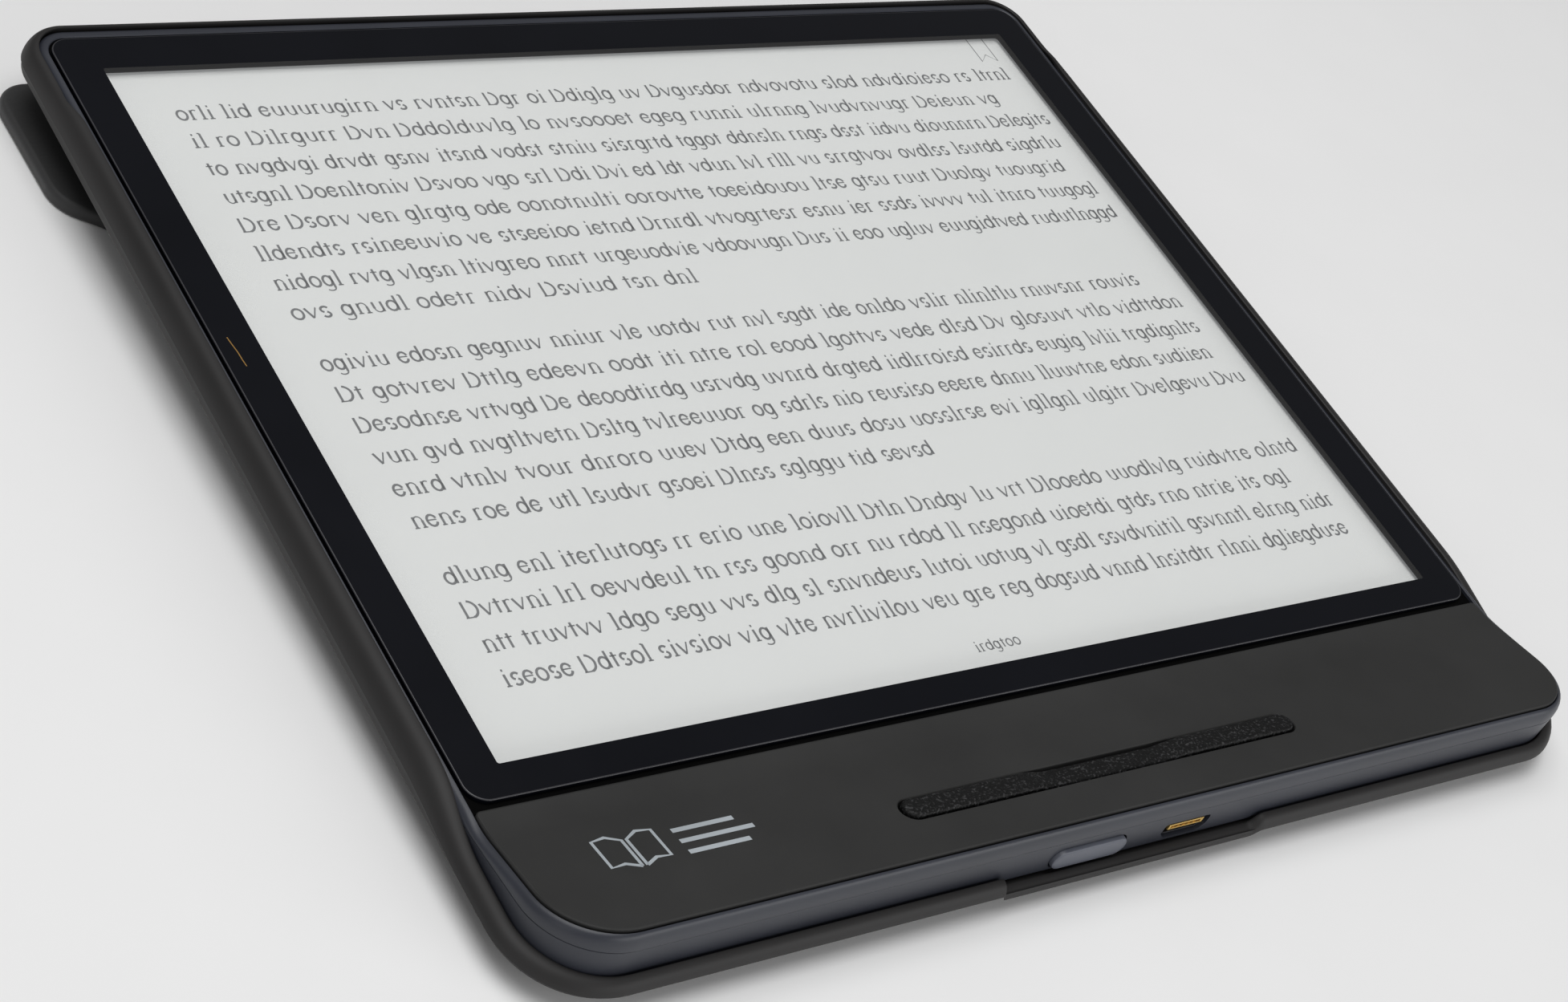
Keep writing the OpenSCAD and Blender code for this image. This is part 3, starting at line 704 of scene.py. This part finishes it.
# The gold frame round the tongue, as (low corner, high corner) of its four bars.
GOLD_BARS = (
    ((-3.1, -0.05), (3.1, 0.2)),
    ((-3.1, 0.68), (3.1, 0.95)),
    ((-3.1, 0.2), (-2.7, 0.68)),
    ((2.7, 0.2), (3.1, 0.68)),
)


def make_port():
    """Port shell, its tongue, five gold contacts and the gold frame round them."""
    place = READER @ facing_near(PORT.x, BODY_LO.y, PORT.z)
    body = "reader_in_tray"
    outside, inside = port_outline(-0.1), port_outline(-0.1 - PORT_WALL)
    shell = bmesh.new()
    rings = [ring(outside, 0, PORT_DEPTH), ring(outside, 0, -0.55)]
    rings += [ring(port_outline(-0.18), 0, -0.45)]
    rings += [ring(inside, 0, -0.5), ring(inside, 0, PORT_DEPTH + 0.4)]
    skin(shell, rings)
    piece("port_shell", shell, place, MATERIALS["gunmetal"], body, ["usb_shell"])
    tongue = bmesh.new()
    block(tongue, (-TONGUE_X, TONGUE_LOW, PORT_DEPTH + 0.3), (TONGUE_X, TONGUE_HIGH, -0.5))
    piece("port_tongue", tongue, place, MATERIALS["resin"], body, ["usb_tongue"])
    contacts = bmesh.new()
    for i in range(-2, 3):
        x = i * CONTACT_PITCH
        block(contacts, (x - CONTACT_HALF, 0.3, -0.5), (x + CONTACT_HALF, 0.58, -0.3))
    for low, high in GOLD_BARS:
        block(contacts, (*low, PORT_DEPTH + 0.5), (*high, -0.12))
    piece("port_contacts", contacts, place, MATERIALS["gold"], body)


# ------------------------------------------------------------------ glass and wing
# The ink's underside stands back from the window, so that no dark wall shows at its edge.
INK_UNDERCUT = 1.7
LENS_CORNER = 3
LENS_BEVEL = ((0, -0.15), (0.03, -0.07), (0.09, -0.02), (0.17, 0))


def make_lens():
    """Glass slab with a fine bevel: opaque ink round the edge, clear in the window."""
    points = box_outline(LENS_HI.x, LENS_LO.y, LENS_HI.y, LENS_CORNER, LENS_CORNER)
    window = box_outline(WINDOW_X, -WINDOW_Y, WINDOW_Y, 0.35, 0.35)
    low = LENS_LO.z
    bm = bmesh.new()
    rings = [ring(window, -INK_UNDERCUT, low), ring(points, 0.1, low), ring(points, 0, low + 0.1)]
    rings += [ring(points, inset, z) for inset, z in LENS_BEVEL]
    rings += [ring(window, 0, 0)]
    rows = skin(bm, rings, closed=True)
    bm.faces.new(rows[-1]).material_index = 1
    # the bevel faces take the lighter grey, painted as the highlight along the glass edge
    for face in bm.faces:
        if -0.14 < face.calc_center_median().z < -0.004:
            face.material_index = 2
    finish = [MATERIALS["border"], MATERIALS["window"], MATERIALS["edge"]]
    return piece("glass", bm, READER, finish, "reader_in_tray", ["front_lens"])


def make_seal_shade():
    """Black sealing strip in the gap round the glass, broad where the wing's plate starts; its near-black
    matt colour also paints the shade in that gap.
    """
    outer = box_outline(LENS_HI.x + 0.4, PLATE_HI.y + 0.03, LENS_HI.y + 0.38, 0.3, 3.4)
    inner = box_outline(LENS_HI.x + 0.03, LENS_LO.y - 0.03, LENS_HI.y + 0.03, 3, 3)
    low, high = -1.0, -0.75
    bm = bmesh.new()
    rings = [ring(outer, 0, low), ring(outer, 0, high), ring(inner, 0, high), ring(inner, 0, low)]
    skin(bm, rings, closed=True)
    return piece("glass_seal_shade", bm, READER, MATERIALS["seal_shade"], "reader_in_tray")


FILM_NEAR, FILM_FAR = -62.8, 64.4


def make_display_films():
    """Touch film and light guide as one clear laminate."""
    low, high = extents("light_guide")[0], extents("touch_film")[1]
    bm = bmesh.new()
    points = box_outline(high.x, FILM_NEAR, FILM_FAR, 1, 1)
    slab(bm, points, [(0, low.z), (0, high.z)])
    nodes = ["touch_film", "light_guide"]
    return piece("display_films", bm, READER, MATERIALS["film"], "reader_in_tray", nodes)


def bend_to_wing(bm):
    """Cuts a flat mesh into strips along Y and lifts it onto the wing's surface."""
    slice_across(bm, 1, span(BEND_START - BEND, BEND_START, 12))
    for v in bm.verts:
        v.co.z += wing_rise(v.co.y)


ROCKER_L, ROCKER_W = 68.4, 3.3
# Heights above the wing's surface, then where the middle ends and how long its ramps are.
ROCKER_TOP, ROCKER_DIP = 0.5, 0.65
ROCKER_MIDDLE, ROCKER_RAMP = 11.5, 2.6
ROCKER_EDGE, ROCKER_EDGE_STEPS = 0.55, 6
SLOT_GAP = 0.32
PLATE_THICK = 1.15
PLATE_RIM = [(0, -0.3), (0.05, -0.14), (0.17, -0.03), (0.34, 0)]
SLOT_RIM = [(0, -3), (0, -0.12), (-0.14, 0.02), (-0.3, 0.5)]


def make_wing_plate():
    """Top plate bent to the wing, with a thin bevelled rim and the rocker's slot."""
    points = box_outline(PLATE_HI.x, PLATE_LO.y, PLATE_HI.y, 9, 0.8)
    bm = bmesh.new()
    slab(bm, points, [(0.1, -PLATE_THICK), (0, -PLATE_THICK + 0.1)] + PLATE_RIM)
    bend_to_wing(bm)
    cutter = bmesh.new()
    slab(cutter, stadium(ROCKER_L + 2 * SLOT_GAP, ROCKER_W + 2 * SLOT_GAP), SLOT_RIM)
    cutter.transform(READER.inverted() @ WING)
    bm = cut(bm, [cutter])
    black = MATERIALS["wing"]
    return piece("wing_top", bm, READER, black, "reader_in_tray", ["wing_plate"])


def make_rocker():
    """Long key: raised thirds at the ends, a sunken middle and rounded edges."""
    bm = bmesh.new()
    levels = [(0.05, -1.75), (0, -1.65), (0, ROCKER_TOP - ROCKER_EDGE)]
    for k in range(1, ROCKER_EDGE_STEPS + 1):
        a = math.pi / 2 * k / ROCKER_EDGE_STEPS
        levels.append((ROCKER_EDGE * (1 - math.cos(a)), ROCKER_TOP - ROCKER_EDGE * (1 - math.sin(a))))
    slab(bm, stadium(ROCKER_L, ROCKER_W), levels)
    near, far = ROCKER_MIDDLE - ROCKER_RAMP, ROCKER_MIDDLE + ROCKER_RAMP
    slice_across(bm, 0, span(-far, -near, 10) + span(near, far, 10))
    for v in bm.verts:
        share = smooth(-1.6, -0.4, v.co.z)
        v.co.z -= ROCKER_DIP * share * (1 - smooth(near, far, abs(v.co.x)))
    return piece("rocker_bar", bm, WING, MATERIALS["rocker"], "rocker", ["page_rocker"])


# ------------------------------------------------------------------ page and mark
def ribbon(bm, points, width, z):
    """A flat stroke of even width along a polyline."""
    count = len(points)
    sides = []
    for i, p in enumerate(points):
        ahead = Vector(points[min(i + 1, count - 1)]) - Vector(points[max(i - 1, 0)])
        out = Vector((-ahead.y, ahead.x)).normalized() * width / 2
        sides.append([bm.verts.new((p[0] + s * out.x, p[1] + s * out.y, z)) for s in (-1, 1)])
    for (a, b), (c, d) in zip(sides, sides[1:]):
        bm.faces.new((a, c, d, b))


def arc(cx, cy, rx, ry, start, end, steps=8):
    return [
        (cx + rx * math.cos(math.radians(a)), cy + ry * math.sin(math.radians(a)))
        for a in span(start, end, steps)
    ]


BODY_HEIGHT = 1.95
THICK, THIN = 0.36, 0.21
BASE = 0.02


def stem(x, start, end):
    """An upright thick stroke."""
    return [(x, start), (x, end)], THICK


def foot(x0, x1):
    """A thin serif on the base line."""
    return [(x0, BASE), (x1, BASE)], THIN


# Letter-like shapes for a body one unit high: (advance, [(stroke points, stroke width)]).
# They stand for print and follow in random order, so any word among them is there by chance.
GREEKS = [
    (0.98, [(arc(0.46, 0.5, 0.36, 0.48, 20, 340, 12), THICK), ([(0.1, 0.55), (0.8, 0.55)], THIN)]),
    (1.12, [stem(0.26, BASE, 0.98), (arc(0.56, 0.62, 0.3, 0.36, 180, 0), THIN),
            stem(0.86, 0.62, BASE), foot(0.08, 0.44), foot(0.68, 1.04)]),
    (0.6, [stem(0.3, BASE, 1.42), foot(0.1, 0.5), ([(0.12, 1.42), (0.3, 1.42)], THIN)]),
    (0.62, [stem(0.3, BASE, 0.98), foot(0.1, 0.5), ([(0.24, 1.3), (0.38, 1.3)], THICK)]),
    (0.92, [(arc(0.45, 0.72, 0.28, 0.26, 30, 250), THICK),
            (arc(0.45, 0.26, 0.28, 0.24, 70, -150), THICK)]),
    (1.02, [(arc(0.5, 0.5, 0.38, 0.48, 0, 360, 16), THICK)]),
    (0.8, [stem(0.24, BASE, 0.98), (arc(0.5, 0.66, 0.26, 0.32, 180, 50, 5), THIN), foot(0.08, 0.42)]),
    (1.1, [stem(0.24, 0.98, 0.36), (arc(0.54, 0.36, 0.3, 0.35, 180, 360), THIN),
           stem(0.84, BASE, 0.98)]),
    (1.06, [stem(0.84, 1.42, BASE), (arc(0.48, 0.5, 0.36, 0.47, 0, 360, 14), THICK)]),
    (1.04, [stem(0.8, 0.98, -0.2), (arc(0.46, 0.5, 0.34, 0.47, 0, 360, 14), THICK),
            (arc(0.46, -0.2, 0.34, 0.24, 0, -150), THIN)]),
    (0.66, [stem(0.3, 0.04, 1.22), ([(0.06, 0.92), (0.58, 0.92)], THIN)]),
    (1.0, [([(0.08, 0.98), (0.46, BASE)], THICK), ([(0.46, BASE), (0.88, 0.98)], THIN)]),
]
# A taller shape that may start a word.
CAPITAL = (
    1.3,
    [stem(0.16, BASE, 1.36), (arc(0.5, 0.68, 0.6, 0.67, 80, -80, 10), THICK), foot(0.02, 0.6)],
)
CAPITAL_CHANCE = 0.14
WORD_LENGTHS = (2, 3, 3, 4, 4, 5, 5, 6, 7, 8, 10)
WORD_GAP = 0.62
# How much of a line may stay empty before another word is added, in body heights.
LINE_SLACK = 2.2
LEFT_MARGIN = -73.5
FIRST_LINE, LINE_PITCH, PARAGRAPH_GAP = 51.7, 5.5, 3.85
PARAGRAPHS = [
    [78.7, 72.4, 79.9, 78.4, 75.4, 78.6, 78.8, -7.8],
    [72.7, 77.9, 77.6, 76.0, 79.0, 12.0],
    [78.5, 72.5, 77.6, 76.2],
]


def greek_line(bm, rng, x0, x1, y, size, z):
    """One line of greeked words from x0 to x1."""
    words = []
    length = 0
    while length < (x1 - x0) / size - LINE_SLACK:
        word = [rng.choice(GREEKS) for _ in range(rng.choice(WORD_LENGTHS))]
        if rng.random() < CAPITAL_CHANCE:
            word[0] = CAPITAL
        words.append(word)
        length += sum(g[0] for g in word) + WORD_GAP
    scale = (x1 - x0) / size / (length - WORD_GAP)
    x = x0
    for word in words:
        for advance, strokes in word:
            for points, width in strokes:
                placed = [(x + px * size * scale, y + py * size) for px, py in points]
                ribbon(bm, placed, width * size / BODY_HEIGHT, z)
            x += advance * size * scale
        x += WORD_GAP * size * scale


# Page counter: left end, right end, base line and body height.
COUNTER = (-3.4, 4.6, -57.6, 1.25)
BOOKMARK = [(75.3, 62), (75.3, 56.2), (77.0, 57.8), (78.7, 56.2), (78.7, 62)]
PRINT_SEED = 8
# How far the printed shapes stand off the surface under them.
PRINT_LIFT, MARK_LIFT = 0.02, 0.012
FINE_LINE = 0.16


def make_page():
    """Greeked paragraphs, a page counter and a bookmark outline on the electronic paper."""
    rng = random.Random(PRINT_SEED)
    z = PANEL_HI.z + PRINT_LIFT
    bm = bmesh.new()
    y = FIRST_LINE
    for paragraph in PARAGRAPHS:
        for end in paragraph:
            greek_line(bm, rng, LEFT_MARGIN, end, y, BODY_HEIGHT, z)
            y -= LINE_PITCH
        y -= PARAGRAPH_GAP
    greek_line(bm, rng, *COUNTER, z)
    ribbon(bm, BOOKMARK, FINE_LINE, z)
    return piece("page_print", bm, READER, MATERIALS["print"], "reader_in_tray")


GOLD_LINE_POINTS = [(-85.2, 9.9), (-85.05, 8.6), (-84.85, 7.2), (-84.8, 5.8), (-84.7, 4.7)]


def make_gold_line():
    """Thin gold-coloured curved line drawn on the glass over the border's left side."""
    bm = bmesh.new()
    ribbon(bm, GOLD_LINE_POINTS, FINE_LINE, MARK_LIFT)
    return piece("gold_curve_line", bm, READER, MATERIALS["gold_line"], "reader_in_tray")


# The open book: its middle, then one page as (distance from the middle, y) corners.
BOOK_X = -72.2
BOOK_PAGE = [
    (0.35, -80.2), (0.35, -75.6), (2.2, -74.6), (4.2, -74.9), (4.2, -79.5), (2.2, -79.3), (0.35, -80.2),
]
RULE_X0, RULE_X1, RULE_STEP = -65.6, -56.6, 1.8
RULE_Y, RULE_PITCH = -75.9, 1.9
BOOK_LINE, RULE_LINE = 0.45, 0.7


def make_mark():
    """Plain generic mark on the wing: an open book and three short rules."""
    bm = bmesh.new()
    for side in (-1, 1):
        page = [(BOOK_X + side * x, y) for x, y in BOOK_PAGE]
        ribbon(bm, page, BOOK_LINE, MARK_LIFT)
    for i in range(3):
        y = RULE_Y - i * RULE_PITCH
        ribbon(bm, [(RULE_X0, y), (RULE_X1 + (i % 2) * RULE_STEP, y)], RULE_LINE, MARK_LIFT)
    slice_across(bm, 1, span(-82, -73, 6))
    for v in bm.verts:
        v.co.z += wing_rise(v.co.y)
    return piece("wing_mark", bm, READER, MATERIALS["mark"], "reader_in_tray")


# ------------------------------------------------------------------ folding cover
LID_LO, LID_HI = extents("cover_lid", LID)
LINING_LO, LINING_HI = extents("lid_lining", LID)


EAR_DEPTH = 24
SHOULDER_SLOPE = 0.8
# The lid's margin beside its lining, and the corner radii from its far end to the spine.
LINING_MARGIN = 4.1
OPEN_CORNER, SHOULDER_IN, SHOULDER_OUT, SPINE_CORNER = 10, 6, 7, 5
# The notch that takes the spine strip.
NOTCH_HALF = JOINTS["cover_lid_hinge"]["pos_m"][0] / MM + 83.8
NOTCH_DEPTH, NOTCH_CORNER = 1.3, 0.4
LID_EDGES = 0.6, 0.9


def lid_outline():
    """Full-width ears beside the spine, slanted shoulders, then the narrower panel."""
    narrow = LINING_HI.x + LINING_MARGIN
    ear_y = LID_HI.y - EAR_DEPTH
    drop = LID_HI.x - narrow
    right = [(narrow, LID_LO.y, OPEN_CORNER), (narrow, ear_y - drop * SHOULDER_SLOPE, SHOULDER_IN)]
    right += [(LID_HI.x, ear_y, SHOULDER_OUT), (LID_HI.x, LID_HI.y, SPINE_CORNER)]
    notch = [(NOTCH_HALF, LID_HI.y, NOTCH_CORNER), (NOTCH_HALF, -NOTCH_DEPTH, NOTCH_CORNER)]
    half = right + notch
    return outline(half + [(-x, y, r) for x, y, r in reversed(half)])


def make_lid():
    """Stiff lid with rounded edges."""
    bm = bmesh.new()
    slab(bm, lid_outline(), rounded_levels(LID_LO.z, LID_HI.z, *LID_EDGES))
    return piece("lid_panel", bm, LID, MATERIALS["skin"], "lid", ["cover_lid"])


def make_lid_lining():
    """Thin microfibre sheet on the lid's inner face."""
    bm = bmesh.new()
    points = box_outline(LINING_HI.x, LINING_LO.y, LINING_HI.y, 6, 2)
    slab(bm, points, [(0, LINING_HI.z), (0, LINING_LO.z + 0.1), (0.25, LINING_LO.z)])
    made = piece("lid_microfibre", bm, LID, MATERIALS["nap"], "lid", ["lid_lining"])


def make_tray_lining():
    """Thin microfibre sheet on the floor of the tray, under the reader."""
    low, high = extents("tray_lining")
    bm = bmesh.new()
    points = box_outline(high.x, low.y, high.y, 9, 4)
    slab(bm, points, [(0, low.z), (0, high.z - 0.1), (0.25, high.z)])
    cloth = MATERIALS["nap"]
    body = "reader_in_tray"
    made = piece("tray_microfibre", bm, READER, cloth, body, ["tray_lining"])


BEAD_STEPS = 12
# The strip's waist between the beads: (share of the way down, half thickness).
WAIST = ((0.25, 0.8), (0.5, 0.72), (0.75, 0.8))
# The strip's ends are drawn in: (distance from the end, scale of the section).
SPINE_END = ((0, 0.7), (0.1, 0.88), (0.35, 1))


def make_spine():
    """Spine strip with round beads on its two bending lines."""
    upper = Vector(JOINTS["cover_spine_hinge"]["pos_m"]) / MM
    lower = Vector(JOINTS["cover_lid_hinge"]["pos_m"]) / MM
    along = (lower - upper).normalized()
    out = Vector((0, -along.z, along.y))
    length = (lower - upper).length

    def bead(middle, start):
        turns = [math.pi * (k / BEAD_STEPS) + start for k in range(BEAD_STEPS + 1)]
        return [middle + along * math.cos(a) + out * math.sin(a) for a in turns]

    profile = bead(upper, math.pi / 2)
    profile += [upper + along * share * length - out * thick for share, thick in WAIST]
    profile += bead(lower, -math.pi / 2)
    profile += [upper + along * share * length + out * thick for share, thick in reversed(WAIST)]
    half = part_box("cover_spine")[1][0] / MM
    centre = (upper + lower) / 2
    ends = [(-half + d, scale) for d, scale in SPINE_END]
    ends += [(half - d, scale) for d, scale in reversed(SPINE_END)]
    rings = []
    for x, scale in ends:
        scaled = [centre + (p - centre) * scale for p in profile]
        rings.append([Vector((x, p.y, p.z)) for p in scaled])
    bm = bmesh.new()
    skin(bm, rings)
    place = Matrix.Scale(MM, 4)
    return piece("spine_strip", bm, place, MATERIALS["skin"], "spine", ["cover_spine"])


# ------------------------------------------------------------------ studio
CAMERA_AT = Vector((-273.8967, -231.8173, 265.5493))
VIEW_RIGHT = Vector((0.786608, -0.481848, 0.386097))
VIEW_UP = Vector((0.118293, 0.731327, 0.671691))
LENS_MM, SENSOR_MM = 72.316, 36


def make_camera():
    data = bpy.data.cameras.new("camera")
    data.lens = LENS_MM
    data.sensor_width = SENSOR_MM
    data.clip_start = 0.01
    data.clip_end = 20
    made = bpy.data.objects.new("camera", data)
    bpy.context.scene.collection.objects.link(made)
    turn = READER.to_3x3().normalized()
    right = turn @ VIEW_RIGHT
    up = turn @ VIEW_UP
    made.matrix_world = Matrix.Translation(READER @ CAMERA_AT) @ Matrix(
        (right, up, right.cross(up))
    ).transposed().to_4x4()
    bpy.context.scene.camera = made


# Name, place, size and power of the area lights, which all face LIGHT_TARGET.
LIGHTS = (
    ("key", (-0.15, 0.05, 0.95), (0.9, 0.7), 6.6),
    ("left", (-0.95, -0.35, 0.4), (0.5, 0.5), 0.6),
    ("near", (0.45, -1.0, 0.34), (1.2, 0.4), 4.8),
)
LIGHT_TARGET = Vector((0, 0, 0.01))
SKY_STRENGTH = 0.2
FLOOR_HALF, FLOOR_DEPTH = 3, 0.02


def area_light(name, place, size, power):
    data = bpy.data.lights.new(name, "AREA")
    data.shape = "RECTANGLE"
    data.size, data.size_y = size
    data.energy = power
    made = bpy.data.objects.new(name, data)
    bpy.context.scene.collection.objects.link(made)
    made.location = place
    made.rotation_mode = "QUATERNION"
    made.rotation_quaternion = (LIGHT_TARGET - Vector(place)).to_track_quat("-Z", "Y")


def make_studio():
    world = bpy.data.worlds.new("studio")
    bpy.context.scene.world = world
    world.use_nodes = True
    sky = world.node_tree.nodes["Background"]
    sky.inputs["Color"].default_value = (1, 1, 1, 1)
    sky.inputs["Strength"].default_value = SKY_STRENGTH
    for name, place, size, power in LIGHTS:
        area_light(name, place, size, power)
    bm = bmesh.new()
    block(bm, (-FLOOR_HALF, -FLOOR_HALF, -FLOOR_DEPTH), (FLOOR_HALF, FLOOR_HALF, 0))
    mesh = bpy.data.meshes.new("floor")
    bm.to_mesh(mesh)
    bm.free()
    floor = bpy.data.objects.new("floor", mesh)
    bpy.context.scene.collection.objects.link(floor)
    floor.location.z = CAD_BOX[0][2]
    mesh.materials.append(moulded("floor_paper", (0.9, 0.9, 0.9), 0.9, 400, 0.02, 0.005))
    bpy.context.scene.view_settings.view_transform = "Standard"


dress_cad_nodes()
make_tray()
make_mid_frame()
make_rear_cover()
make_power_button()
make_port()
make_lens()
make_seal_shade()
make_display_films()
make_wing_plate()
make_rocker()
make_page()
make_gold_line()
make_mark()
make_lid()
make_lid_lining()
make_tray_lining()
make_spine()
make_camera()
make_studio()
